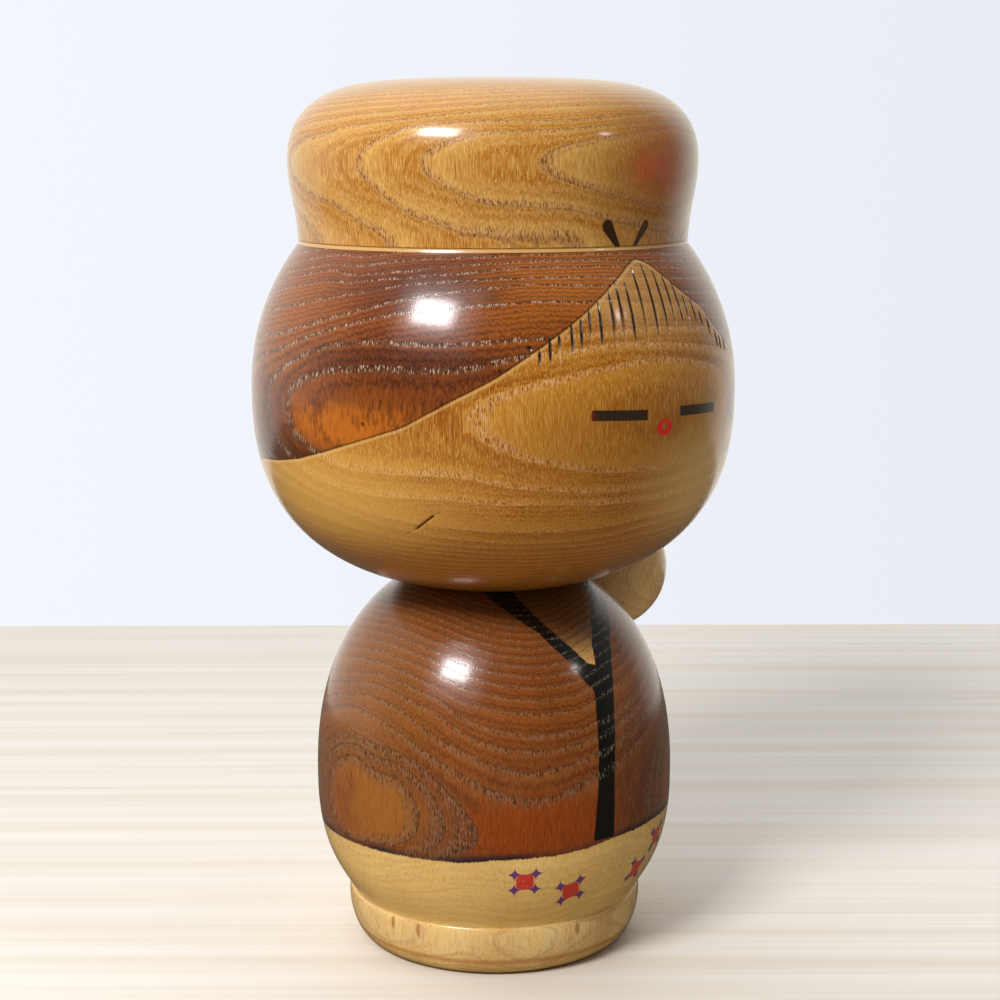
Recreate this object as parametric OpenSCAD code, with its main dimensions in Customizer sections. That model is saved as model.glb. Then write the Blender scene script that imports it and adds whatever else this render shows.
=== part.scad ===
// Kokeshi doll of turned zelkova: a mother with a flat broad topknot, and the small
// round head of a child carried behind her left shoulder.
// Units are millimetres. The origin is the centre of the foot's flat underside, +Z is up,
// and the mother's face looks towards -Y.

/* [Overall] */
// Height of the whole doll, from the table to the top of the topknot
total_h = 180.4; // [176:0.1:190]

/* [Foot] */
// Radius of the foot disc at its shoulder, where it is widest
foot_r = 31.2; // [29.5:0.1:33]
// Radius of the flat underside that the doll stands on
foot_base_r = 26.1; // [23:0.1:28]
// Height of the foot's shoulder above the table
foot_shoulder_h = 9.6; // [8:0.1:10]
// Height of the foot disc, where the body sits on it
foot_h = 11.2; // [10.8:0.1:12]
// How far the foot's upper edge rounds in to meet the body
foot_edge = 0.5; // [0.3:0.1:0.8]
// Diameter of the tenon turned on the foot
foot_tenon_d = 22; // [14:1:30]
// Length of the tenon above the foot disc
foot_tenon_l = 12; // [8:1:16]

/* [Body] */
// Largest radius of the body
body_r = 37.7; // [35:0.1:39]
// Height of the body's widest line above the table
body_wide_h = 36.2; // [33:0.1:37]
// Rise of the shoulder curve above the widest line, if it ran on up to the axis
body_dome_h = 46.5; // [45:0.1:50]
// Squareness of the shoulder curve, where 2 is a plain ellipse
body_dome_power = 2.24; // [2:0.02:2.6]
// Drop of the lower curve below the widest line, if it ran on down to the axis
body_skirt_h = 34.3; // [31:0.1:35]
// Squareness of the lower curve
body_skirt_power = 2.52; // [2.2:0.02:2.8]
// How far the hollow curve just above the foot stands out from the lower curve
body_cove = 1; // [0.8:0.05:1.4]
// Height over which that hollow curve runs out
body_cove_h = 1.3; // [1:0.1:1.6]
// Height of the small flat that the head stands over
body_top_h = 78.3; // [77:0.1:79]

/* [Head] */
// Largest radius of the head
head_r = 49.9; // [48:0.1:52]
// Height of the head's widest line above the table
head_wide_h = 118.4; // [117:0.1:120]
// Rise of the crown curve above the widest line, if it ran on up to the axis
head_crown_h = 48.5; // [47:0.1:51]
// Drop of the jaw curve below the widest line, if it ran on down to the axis
head_jaw_h = 41.55; // [41:0.05:43]
// Squareness of the jaw curve
head_jaw_power = 2.53; // [2.2:0.01:2.7]
// Height of the seam between the head and the topknot
seam_h = 148.2; // [146:0.1:149]
// Height of the narrow lip around the head's upper edge
lip_h = 0.6; // [0.4:0.1:1]
// How far the lip leans in over its height
lip_lean = 0.15; // [0.1:0.05:0.3]

/* [Topknot] */
// Radius of the topknot where it stands on the head
topknot_foot_r = 39.9; // [38:0.1:40]
// Largest radius of the topknot
topknot_r = 41.75; // [40:0.05:43]
// Height of the topknot's widest line above the table
topknot_wide_h = 164.1; // [158:0.1:166]
// Squareness of the topknot's rounded shoulder, measured outwards
topknot_out_power = 4.6; // [4:0.1:6]
// Squareness of the topknot's rounded shoulder, measured upwards
topknot_up_power = 2.25; // [2:0.05:2.6]
// Bevel around the topknot's lower edge
topknot_bevel = 0.3; // [0.2:0.1:0.6]

/* [Child] */
// Radius of the child's round head
child_r = 14.4; // [13:0.1:14.8]
// Distance of its centre from the doll's axis
child_out = 43.2; // [43:0.1:45]
// Height of its centre above the table
child_h = 72.25; // [71:0.05:72.4]
// Angle of its centre around the axis, from the mother's face towards her left side
child_turn = 103.5; // [90:0.5:180]
// Slope of the line on which it is pegged, above the horizontal
child_peg_slope = 30; // [20:1:35]
// Depth of the flat that seats it on the shoulder
child_seat_depth = 0.3; // [0.2:0.1:0.6]

/* [Dowels] */
// Diameter of the dowel that joins the head to the body
neck_dowel_d = 14; // [10:1:20]
// Depth of the neck dowel's blind hole in the head
neck_dowel_up = 20; // [12:1:30]
// Depth of the neck dowel's blind hole in the body
neck_dowel_down = 22; // [12:1:28]
// Radial clearance of the neck dowel in the body, in which it turns
neck_play = 0.05; // [0.02:0.01:0.1]
// Gap between the head and the body, and below the neck dowel
neck_gap = 0.3; // [0.3:0.05:0.6]
// Diameter of the dowel that joins the topknot to the head
crown_dowel_d = 12; // [8:1:16]
// Depth of the topknot dowel's blind hole on each side of the seam
crown_dowel_l = 14; // [8:1:18]
// Diameter of the child's peg
child_peg_d = 5; // [3:0.5:6]
// Depth of the child's peg on each side of its seat
child_peg_l = 9; // [6:1:10]
// Bevel at both ends of each dowel
dowel_bevel = 0.8; // [0.4:0.1:1.2]

/* [Hidden] */
$fn = 96;
curve_steps = 28;
natural = "#d9a458";
stained = "#74401f";
dowel_wood = "#e3c795";
head_bottom_h = body_top_h + neck_gap;
peg_dir_out = cos(child_peg_slope);
peg_dir_up = sin(child_peg_slope);
child_seat = child_r - child_seat_depth;
cut = 60;

// Heights from one level to another, closer together towards the second
function eased(from, to) = [for (i = [0:curve_steps]) from + (to - from) * sin(90 * i / curve_steps)];

// Radius at height z of a curve that swells to r at height mid, and meets the axis span away from it
function swell(z, mid, r, span, power) = r * pow(1 - pow(abs(z - mid) / span, power), 1 / power);

// The same list, last entry first
function reversed(list) = [for (i = [len(list) - 1:-1:0]) list[i]];

// A solid turned on the doll's axis from its outline, listed from the bottom to the top
module turned(outline) {
    axis_bottom = [0, outline[0].y];
    axis_top = [0, outline[len(outline) - 1].y];
    rotate_extrude() polygon(concat([axis_bottom], outline, [axis_top]));
}

// A dowel standing on z = 0, with a bevel at both ends
module dowel(d, l) {
    cylinder(d1 = d - 2 * dowel_bevel, d2 = d, h = dowel_bevel);
    translate([0, 0, dowel_bevel]) cylinder(d = d, h = l - 2 * dowel_bevel);
    translate([0, 0, l - dowel_bevel]) cylinder(d1 = d, d2 = d - 2 * dowel_bevel, h = dowel_bevel);
}

// Places its children at the centre of the child's head, with -Z pointing at the seat on the shoulder
module at_child() {
    rotate([0, 0, child_turn - 90])
        translate([child_out, 0, child_h])
            rotate([0, 90 - child_peg_slope, 0])
                children();
}

// Base disc with a rounded shoulder, drawn in towards the table, and a tenon that enters the body
module foot() {
    shoulder = [for (i = [0:curve_steps]) let (a = 90 * i / curve_steps)
        [foot_base_r + (foot_r - foot_base_r) * sin(a), foot_shoulder_h * (1 - cos(a))]];
    crest = [for (i = [1:curve_steps]) let (a = 90 * i / curve_steps)
        [foot_r - foot_edge * (1 - cos(a)),
         foot_shoulder_h + (foot_h - foot_shoulder_h) * sin(a)]];
    color(natural) {
        turned(concat(shoulder, crest));
        translate([0, 0, foot_h]) cylinder(d = foot_tenon_d, h = foot_tenon_l);
    }
}

// Egg-shaped body, bored from above for the neck dowel, from below for the foot's tenon,
// and at the left shoulder for the child's peg
module body() {
    skirt = [for (z = reversed(eased(body_wide_h, foot_h)))
        [swell(z, body_wide_h, body_r, body_skirt_h, body_skirt_power)
         + body_cove * exp((foot_h - z) / body_cove_h), z]];
    dome = [for (z = eased(body_wide_h, body_top_h))
        [swell(z, body_wide_h, body_r, body_dome_h, body_dome_power), z]];
    color(stained) difference() {
        turned(concat(skirt, [for (i = [1:curve_steps]) dome[i]]));
        translate([0, 0, body_top_h - neck_dowel_down])
            cylinder(d = neck_dowel_d + 2 * neck_play, h = cut);
        translate([0, 0, foot_h - cut]) cylinder(d = foot_tenon_d, h = cut + foot_tenon_l);
        at_child() translate([0, 0, -child_seat]) {
            cylinder(d = 2 * child_r, h = cut);
            translate([0, 0, -child_peg_l]) cylinder(d = child_peg_d, h = cut);
        }
    }
}

// Broad head, flat below and above, with a narrow lip around its upper edge
module head() {
    jaw = [for (z = reversed(eased(head_wide_h, head_bottom_h)))
        [swell(z, head_wide_h, head_r, head_jaw_h, head_jaw_power), z]];
    crown = [for (i = [1:curve_steps])
        let (z = head_wide_h + (seam_h - lip_h - head_wide_h) * i / curve_steps)
        [swell(z, head_wide_h, head_r, head_crown_h, 2), z]];
    lip = [[crown[curve_steps - 1].x - lip_lean, seam_h]];
    color(stained) difference() {
        turned(concat(jaw, crown, lip));
        translate([0, 0, head_bottom_h + neck_dowel_up - cut]) cylinder(d = neck_dowel_d, h = cut);
        translate([0, 0, seam_h - crown_dowel_l]) cylinder(d = crown_dowel_d, h = cut);
    }
}

// Topknot: a broad flat cap that flares a little from the seam and rounds over to a flat top
module topknot() {
    start_h = seam_h + topknot_bevel;
    flare = [for (i = [0:curve_steps]) let (t = i / curve_steps)
        [topknot_foot_r + (topknot_r - topknot_foot_r) * (1 - cos(180 * t)) / 2,
         start_h + (topknot_wide_h - start_h) * t]];
    round_over = [for (i = [1:curve_steps]) let (a = 90 * i / curve_steps)
        [topknot_r * pow(cos(a), 2 / topknot_out_power),
         topknot_wide_h + (total_h - topknot_wide_h) * pow(sin(a), 2 / topknot_up_power)]];
    color(natural) difference() {
        turned(concat([[topknot_foot_r - topknot_bevel, seam_h]], flare, round_over));
        translate([0, 0, seam_h + crown_dowel_l - cut]) cylinder(d = crown_dowel_d, h = cut);
    }
}

// The child's round head, with a small flat where it is seated on the shoulder
module child_head() {
    color(natural) at_child() difference() {
        sphere(r = child_r);
        translate([0, 0, -child_seat - cut]) cylinder(d = 2 * child_r, h = cut);
        translate([0, 0, -child_seat + child_peg_l - cut]) cylinder(d = child_peg_d, h = cut);
    }
}

// Dowel glued into the head, on which the head turns in the body
module neck_dowel() {
    bottom = body_top_h - neck_dowel_down + neck_gap;
    color(dowel_wood) translate([0, 0, bottom])
        dowel(neck_dowel_d, head_bottom_h + neck_dowel_up - bottom);
}

// Dowel glued into the head and the topknot
module topknot_dowel() {
    color(dowel_wood) translate([0, 0, seam_h - crown_dowel_l])
        dowel(crown_dowel_d, 2 * crown_dowel_l);
}

// Peg glued into the child's head and the body
module child_peg() {
    color(dowel_wood) at_child() translate([0, 0, -child_seat - child_peg_l])
        dowel(child_peg_d, 2 * child_peg_l);
}

foot();
body();
head();
topknot();
child_head();
neck_dowel();
topknot_dowel();
child_peg();
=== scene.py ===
"""Looks of the turned zelkova kokeshi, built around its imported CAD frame.

Lengths in the constants are millimetres and angles are degrees. Places on the doll are given
as (azimuth, height). Azimuth is counted round the doll's axis from the side that the camera
stands on, towards the doll's left, and the face's middle is at FACE. It runs from -180 to 180 in
the meshes and from -139 to 221 in the materials.
"""
import math
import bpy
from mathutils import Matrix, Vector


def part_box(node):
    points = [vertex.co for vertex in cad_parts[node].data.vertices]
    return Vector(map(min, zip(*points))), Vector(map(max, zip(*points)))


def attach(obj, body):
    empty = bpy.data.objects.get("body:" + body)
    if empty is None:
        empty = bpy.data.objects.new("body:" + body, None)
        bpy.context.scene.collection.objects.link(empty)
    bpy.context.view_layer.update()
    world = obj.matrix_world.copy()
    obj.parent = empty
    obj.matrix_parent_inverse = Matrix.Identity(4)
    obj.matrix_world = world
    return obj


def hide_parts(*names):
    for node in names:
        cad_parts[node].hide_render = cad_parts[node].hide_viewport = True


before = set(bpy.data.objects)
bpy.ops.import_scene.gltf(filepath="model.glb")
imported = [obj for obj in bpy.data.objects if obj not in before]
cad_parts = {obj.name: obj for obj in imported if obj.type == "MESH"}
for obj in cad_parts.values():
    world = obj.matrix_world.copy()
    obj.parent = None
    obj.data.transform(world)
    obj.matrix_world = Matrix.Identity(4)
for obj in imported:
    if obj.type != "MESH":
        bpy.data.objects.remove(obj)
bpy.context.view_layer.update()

from types import SimpleNamespace

import bmesh
import bpy
import numpy as np
from mathutils import Matrix, Vector

MM = 0.001
FACE = 41.0
DEGREE = math.pi / 180


# ---------------------------------------------------------------- outlines

def heights(node):
    """Lowest and highest level of a CAD node."""
    low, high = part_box(node)
    return low.z / MM, high.z / MM


FOOT_H = heights("body")[0]
BODY_TOP_H = heights("body")[1]
HEAD_BOTTOM_H = heights("head")[0]
SEAM_H = heights("topknot")[0]
TOTAL_H = heights("topknot")[1]
TENON_TOP_H = heights("foot")[1]
BODY_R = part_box("body")[1].x / MM
HEAD_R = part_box("head")[1].x / MM
TOPKNOT_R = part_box("topknot")[1].x / MM
FOOT_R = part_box("foot")[1].x / MM
# The rest repeats part.scad's own values.
NECK_R, NECK_BORE_R, CROWN_R, TENON_R = 7.0, 7.05, 6.0, 11.0
NECK_BORE_BOTTOM, NECK_BORE_TOP = BODY_TOP_H - 22, HEAD_BOTTOM_H + 20
CROWN_BORE = 14.0
BODY_WIDE_H, BODY_DOME_H, BODY_DOME_POWER = 36.2, 46.5, 2.24
BODY_SKIRT_H, BODY_SKIRT_POWER, BODY_COVE, BODY_COVE_H = 34.3, 2.52, 1.0, 1.3
HEAD_WIDE_H, HEAD_CROWN_H, HEAD_JAW_H, HEAD_JAW_POWER = 118.4, 48.5, 41.55, 2.53
LIP_H, LIP_LEAN = 0.6, 0.15
TOPKNOT_FOOT_R, TOPKNOT_WIDE_H, TOPKNOT_BEVEL = 39.9, 164.1, 0.3
TOPKNOT_OUT_POWER, TOPKNOT_UP_POWER = 4.6, 2.25
FOOT_BASE_R, FOOT_SHOULDER_H, FOOT_EDGE = 26.1, 9.6, 0.5
CHILD_R, CHILD_SEAT, CHILD_OUT, CHILD_H = 14.4, 14.1, 43.2, 72.25
CHILD_TURN, PEG_SLOPE, PEG_R, PEG_L = 103.5, 30.0, 2.5, 9.0


def swell(z, mid, r, span, power):
    """Radius at height z of a curve that swells to r at height mid and meets the axis span away."""
    return r * np.clip(1 - np.abs((z - mid) / span) ** power, 0, None) ** (1 / power)


def head_radius(z):
    z = np.asarray(z, float)
    jaw = swell(z, HEAD_WIDE_H, HEAD_R, HEAD_JAW_H, HEAD_JAW_POWER)
    return np.where(z < HEAD_WIDE_H, jaw, swell(z, HEAD_WIDE_H, HEAD_R, HEAD_CROWN_H, 2))


def body_radius(z):
    z = np.asarray(z, float)
    skirt = swell(z, BODY_WIDE_H, BODY_R, BODY_SKIRT_H, BODY_SKIRT_POWER)
    skirt = skirt + BODY_COVE * np.exp((FOOT_H - np.maximum(z, FOOT_H)) / BODY_COVE_H)
    dome = swell(z, BODY_WIDE_H, BODY_R, BODY_DOME_H, BODY_DOME_POWER)
    return np.where(z < BODY_WIDE_H, skirt, dome)


def topknot_radius(z):
    z = np.asarray(z, float)
    rise = np.clip((z - SEAM_H - TOPKNOT_BEVEL) / (TOPKNOT_WIDE_H - SEAM_H - TOPKNOT_BEVEL), 0, 1)
    flare = TOPKNOT_FOOT_R + (TOPKNOT_R - TOPKNOT_FOOT_R) * (1 - np.cos(np.pi * rise)) / 2
    up = np.clip((z - TOPKNOT_WIDE_H) / (TOTAL_H - TOPKNOT_WIDE_H), 0, 1)
    over = TOPKNOT_R * (1 - up ** TOPKNOT_UP_POWER) ** (1 / TOPKNOT_OUT_POWER)
    return np.where(z < TOPKNOT_WIDE_H, flare, over)


def along(start, stop, pitch, fine=()):
    """Numbers from start to stop, pitch apart, and closer in each (low, high, pitch) of fine."""
    sign = 1 if stop > start else -1
    out, at = [start], start
    while sign * (stop - at) > 1e-6:
        step = min([p for low, high, p in fine if low <= at + sign * 1e-6 <= high] + [pitch])
        at += sign * step
        out.append(at)
    if len(out) > 2 and abs(stop - out[-2]) < 0.4 * abs(out[-1] - out[-2]):
        out.pop()
    out[-1] = stop
    return out


def ring_of(r_from, r_to, z, pitch):
    """Points of a flat face between two radii at height z."""
    return [(r, z) for r in along(r_from, r_to, pitch)]


def body_outline():
    levels = along(BODY_TOP_H, FOOT_H, 0.8, [(FOOT_H, FOOT_H + 3, 0.25)])
    side = [(float(body_radius(z)), z) for z in levels]
    return ([(0, NECK_BORE_BOTTOM), (NECK_BORE_R, NECK_BORE_BOTTOM), (NECK_BORE_R, BODY_TOP_H)]
            + ring_of(NECK_BORE_R + 2, side[0][0], BODY_TOP_H, 2)[:-1] + side
            + [(TENON_R, FOOT_H), (TENON_R, TENON_TOP_H), (0, TENON_TOP_H)])


def head_outline():
    fine = [(94.3, 100.2, 0.25), (125, 146.2, 0.45)]
    side = [(float(head_radius(z)), z) for z in along(SEAM_H - LIP_H, HEAD_BOTTOM_H, 1.2, fine)]
    lip_r = side[0][0]
    return ([(0, SEAM_H - CROWN_BORE), (CROWN_R, SEAM_H - CROWN_BORE), (CROWN_R, SEAM_H)]
            + [(lip_r - LIP_LEAN, SEAM_H)] + side
            + [(NECK_R, HEAD_BOTTOM_H), (NECK_R, NECK_BORE_TOP), (0, NECK_BORE_TOP)])


def topknot_outline():
    rounded = TOTAL_H - TOPKNOT_WIDE_H
    over = [(TOPKNOT_R * math.cos(a) ** (2 / TOPKNOT_OUT_POWER),
             TOPKNOT_WIDE_H + rounded * math.sin(a) ** (2 / TOPKNOT_UP_POWER))
            for a in np.radians(np.linspace(89.7, 0, 60))]
    top = ring_of(0, over[0][0], TOTAL_H, 0.8)[:-1]
    flare = [(float(topknot_radius(z)), z)
             for z in along(TOPKNOT_WIDE_H - 0.6, SEAM_H + TOPKNOT_BEVEL, 0.7)]
    return (top + over + flare
            + [(TOPKNOT_FOOT_R - TOPKNOT_BEVEL, SEAM_H), (CROWN_R, SEAM_H),
               (CROWN_R, SEAM_H + CROWN_BORE), (0, SEAM_H + CROWN_BORE)])


def foot_outline():
    lean = np.radians(np.linspace(90, 0, 12))
    crest = [(FOOT_R - FOOT_EDGE * (1 - math.cos(a)),
              FOOT_SHOULDER_H + (FOOT_H - FOOT_SHOULDER_H) * math.sin(a)) for a in lean[:-1]]
    lean = np.radians(np.linspace(90, 0, 22))
    shoulder = [(FOOT_BASE_R + (FOOT_R - FOOT_BASE_R) * math.sin(a),
                 FOOT_SHOULDER_H * (1 - math.cos(a))) for a in lean]
    return ([(0, TENON_TOP_H), (TENON_R, TENON_TOP_H), (TENON_R, FOOT_H)] + crest + shoulder
            + ring_of(FOOT_BASE_R - 1.5, 1.5, 0, 1.5) + [(0, 0)])


def child_outline():
    """The child's head about its own peg's line, with the seat's flat below."""
    low = math.degrees(math.asin(CHILD_SEAT / CHILD_R))
    side = [(CHILD_R * math.cos(a), CHILD_R * math.sin(a))
            for a in np.radians(np.linspace(90, -low, 90))][1:]
    return ([(0, CHILD_R)] + side
            + [(PEG_R, -CHILD_SEAT), (PEG_R, PEG_L - CHILD_SEAT), (0, PEG_L - CHILD_SEAT)])


# ---------------------------------------------------------------- meshes

def azimuths(pitch, fine=()):
    """Azimuths all the way round, closer together inside each (low, high, pitch) of fine."""
    return np.array(along(-180, 180, pitch, fine)[:-1])


def lathe(name, outline, turns):
    """A closed mesh, turned from an outline that starts and ends on the axis."""
    angle = np.radians(turns - FACE)
    rings = outline[1:-1]
    count = len(turns)
    points = [(0, 0, outline[0][1])]
    for r, z in rings:
        points += [(r * math.sin(a), -r * math.cos(a), z) for a in angle]
    points.append((0, 0, outline[-1][1]))
    faces = [(0, 1 + i, 1 + (i + 1) % count) for i in range(count)]
    for k in range(len(rings) - 1):
        near, far = 1 + k * count, 1 + (k + 1) * count
        faces += [(near + i, far + i, far + (i + 1) % count, near + (i + 1) % count)
                  for i in range(count)]
    last, end = 1 + (len(rings) - 1) * count, len(points) - 1
    faces += [(last + (i + 1) % count, last + i, end) for i in range(count)]
    mesh = bpy.data.meshes.new(name)
    mesh.from_pydata([(x * MM, y * MM, z * MM) for x, y, z in points], [], faces)
    mesh.update()
    piece = bpy.data.objects.new(name, mesh)
    bpy.context.scene.collection.objects.link(piece)
    return piece


def places(piece):
    """Azimuth, height and radius of every vertex."""
    co = np.zeros(len(piece.data.vertices) * 3, np.float32)
    piece.data.vertices.foreach_get("co", co)
    x, y, z = co.reshape(-1, 3).astype(float).T / MM
    azimuth = (np.degrees(np.arctan2(x, -y)) + FACE + 180) % 360 - 180
    return azimuth, z, np.hypot(x, y)


def sink(piece, depth):
    """Moves every vertex inwards, towards the axis, by its own depth."""
    co = np.zeros(len(piece.data.vertices) * 3, np.float32)
    piece.data.vertices.foreach_get("co", co)
    co = co.reshape(-1, 3)
    radius = np.maximum(np.hypot(co[:, 0], co[:, 1]), 1e-6)
    co[:, :2] *= (1 - depth * MM / radius)[:, None]
    piece.data.vertices.foreach_set("co", co.ravel())
    piece.data.update()


def attribute(piece, name, values):
    """Keeps a number at every vertex, for the piece's material to read."""
    piece.data.attributes.new(name, "FLOAT", "POINT")
    piece.data.attributes[name].data.foreach_set("value", np.asarray(values, np.float32))


def smooth_shade(piece, sharp=35):
    """Smooth shading, except at edges sharper than an angle."""
    for polygon in piece.data.polygons:
        polygon.use_smooth = True
    work = bmesh.new()
    work.from_mesh(piece.data)
    for edge in work.edges:
        edge.smooth = len(edge.link_faces) == 2 and edge.calc_face_angle(0) < math.radians(sharp)
    work.to_mesh(piece.data)
    work.free()


# ---------------------------------------------------------------- growth rings

# How far in azimuth a mark is blurred, how far its ring keeps to it and then lets go
MARK_BLUR, MARK_HOLD, MARK_FADE = 6.0, 5, 50
INNER_RINGS, OUTER_RINGS, THINNEST_RING = 60, 12, 0.3


def rings_field(azimuth, radius, lean, tilt, marks, radii, inner_pitch, outer_pitch):
    """Ring number at each place, and the local thickness of a ring.

    lean gives how far the doll's axis lies from the tree's at an azimuth, and tilt what a slant of
    the tree adds to the radius at a place, which the radius given already holds. marks holds, for
    each known ring from the innermost, places where it comes out at the surface, and radii gives
    the surface's radius at a height. More rings follow inwards and outwards at their own pitches.
    """
    known = []
    knots = np.arange(-180, 181, 4.0)
    for ring in marks:
        at, level = np.array(sorted(ring, key=lambda mark: mark[0]), float).T
        size = radii(level) + tilt(at, level)
        mean = float(np.mean(size + lean(at)))
        away = np.abs(knots[:, None] - at[None, :])
        weight = np.exp(-(away / MARK_BLUR) ** 2) + 1e-12
        off = (weight * (size + lean(at) - mean)).sum(1) / weight.sum(1)
        reach = np.clip(1 - (np.min(away, 1) - MARK_HOLD) / MARK_FADE, 0, 1)
        known.append(mean - lean(azimuth) + np.interp(azimuth, knots, off * reach))
    stack = [known[0] - inner_pitch * (k + 1) for k in range(INNER_RINGS)][::-1] + known
    stack += [known[-1] + outer_pitch * (k + 1) for k in range(OUTER_RINGS)]
    for k in range(1, len(stack)):
        stack[k] = np.maximum(stack[k], stack[k - 1] + THINNEST_RING)
    table = np.stack(stack)
    below = np.clip((table <= radius).sum(0) - 1, 0, len(stack) - 2)
    row = np.arange(len(radius))
    low, high = table[below, row], table[below + 1, row]
    return below + (radius - low) / (high - low), high - low


def topknot_lean(azimuth):
    return 2.75 * np.cos(np.radians(azimuth - 55))


def head_lean(azimuth):
    wave = 2.0 * np.cos(np.radians(azimuth - 37)) + 0.35 * np.cos(np.radians(2 * azimuth - 30))
    return wave + 0.75 * np.exp(-((azimuth + 38) / 24) ** 2)


def body_lean(azimuth):
    left = 1.9 * np.exp(-((azimuth + 48) / 28.0) ** 2)
    right = 1.7 * np.exp(-((azimuth - 84) / 24.0) ** 2)
    back = 1.0 * np.exp(-((np.abs(azimuth) - 170) / 50.0) ** 2)
    front = 0.7 * np.exp(-((azimuth - 16) / 17.0) ** 2)
    return left + right + back - front


def upright(azimuth, z):
    """No slant."""
    return 0.0 * z


def head_tilt(azimuth, z):
    """The tree slants a little at the back of the head."""
    away = (azimuth - 165 + 180) % 360 - 180
    return 0.06 * (118.0 - z) * np.exp(-((away / 48.0) ** 4))


def body_tilt(azimuth, z):
    """The tree slants a little at the front of the body."""
    return 0.065 * (41.0 - z) * np.exp(-((azimuth - 14) / 22.0) ** 2)


TOPKNOT_RINGS = [
    [(-52, 155), (-46, 155.1), (-40, 153.8), (-35, 152), (-32, 150), (-28, 148.3), (-50, 169),
     (-45, 170.5), (-40, 172)],
    [(-25, 171), (-30, 169.5), (-34, 167), (-36, 165), (-36.5, 163), (-35, 160.5), (-32, 158.5),
     (-28, 156.5), (-22, 154.7), (-17, 153), (-10, 150.7), (0, 149.3), (10, 148.8), (20, 148.5)],
    [(-10, 169), (-5, 170), (0, 170.2), (10, 170.3), (-16, 167.5), (-18, 165), (-18.5, 163.5),
     (-17, 161.5), (-13, 160), (-10, 158.3), (-5, 157.3), (0, 156.5), (10, 156), (18, 155.6),
     (25, 154.5), (31, 153.2)],
    [(30, 168.8), (20, 167.5), (14, 165.5), (11, 163.5), (13, 161.5), (20, 159.7), (30, 158.3),
     (40, 156.5), (50, 155), (60, 155), (70, 156)],
]
HEAD_RINGS = [
    [(-50, 144.8), (-35, 145.1), (-24, 146.1), (-18, 146.7)],
    [(-50, 143.7), (-35, 143.5), (-24, 144.2), (-13, 145), (-6, 145.7), (4, 146.1)],
    [(-50, 141.8), (-35, 142.2), (-24, 143.1), (-13, 143.8), (-2, 144.5), (5, 145)],
    [(-46, 138.6), (-35, 140.1), (-28, 141.2), (-19, 142.2), (-10, 142.7), (1, 143.1)],
    [(-50, 133.5), (-43, 134.9), (-35, 136.6), (-28, 138.1), (-21, 139.4), (-13, 140.5),
     (-6, 141.2), (5, 142)],
    [(-50, 131), (-43, 132.6), (-35, 134.5), (-28, 136), (-21, 137.1), (-13, 137.7), (-6, 138.4),
     (5, 138.9)],
    [(-50, 127.8), (-43, 129.7), (-35, 131.4), (-28, 132.2), (-21, 132.4), (-13, 132.4),
     (-6, 132.2), (1, 132.7), (-30, 102.8), (-20, 103.2), (-10, 103), (-2, 102.3), (7, 101.5)],
    [(-50, 123.7), (-43, 125.5), (-35, 127.1), (-28, 127.4), (-21, 127.5), (-13, 127.8),
     (-6, 127.1), (1, 129.1), (5, 129.7), (-40, 108.5), (-30, 107.4), (-20, 107.2), (-10, 107.2),
     (-2, 106.2), (7, 104.3), (15, 103.7), (23, 102.8)],
    [(3, 123.5), (10, 125), (20, 126.9), (30, 127.4), (38, 128.2), (-3.5, 117.4), (-3.7, 114.3),
     (0, 112.2), (5, 110.4), (10, 109.1), (15, 108.5), (23, 107.2), (33, 106.4)],
]
BODY_RINGS = [
    [(-20, 62), (-10, 59.5), (0, 58.3), (10, 57.6), (20, 57.3), (30, 57.3)],
    [(-20, 60), (-10, 56.5), (0, 54.5), (10, 53.5), (20, 53.2), (30, 53.6), (40, 54.5)],
    [(-20, 57.5), (-10, 54), (-5, 52.3), (0, 51.5), (10, 50.5), (20, 50.5), (30, 51), (40, 52.5)],
    [(-30, 56.5), (-20, 53), (-10, 50.3), (-5, 48.6), (0, 47.5), (5, 46.8), (10, 46.3),
     (15, 46.3), (20, 46.8), (30, 47.8), (40, 49)],
    [(-20, 49), (-10, 46), (-5, 44), (0, 42.5), (5, 41.5), (10, 41), (15, 41), (20, 41.7),
     (25, 43), (30, 43.5), (34, 44)],
    [(-50, 50), (-40, 49), (-30, 48.5), (-22, 46.5), (-14, 43), (-9, 40.5), (-7.5, 37),
     (-8.5, 32)],
    [(-40, 47), (-30, 46.6), (-22, 44), (-17, 41), (-15.5, 37)],
    [(-50, 46.5), (-40, 45), (-30, 44.5), (-25, 42.5), (-22, 39), (-22, 35), (-25, 32.5),
     (-30, 31.5)],
]


# What a piece's growth rings follow. The foot carries on the body's.
TOPKNOT_WOOD = (topknot_lean, upright, TOPKNOT_RINGS, topknot_radius, 1.25, 1.3)
HEAD_WOOD = (head_lean, head_tilt, HEAD_RINGS, head_radius, 1.2, 1.5)
BODY_WOOD = (body_lean, body_tilt, BODY_RINGS, body_radius, 1.1, 0.9)


# ---------------------------------------------------------------- painted and carved fields

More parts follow.
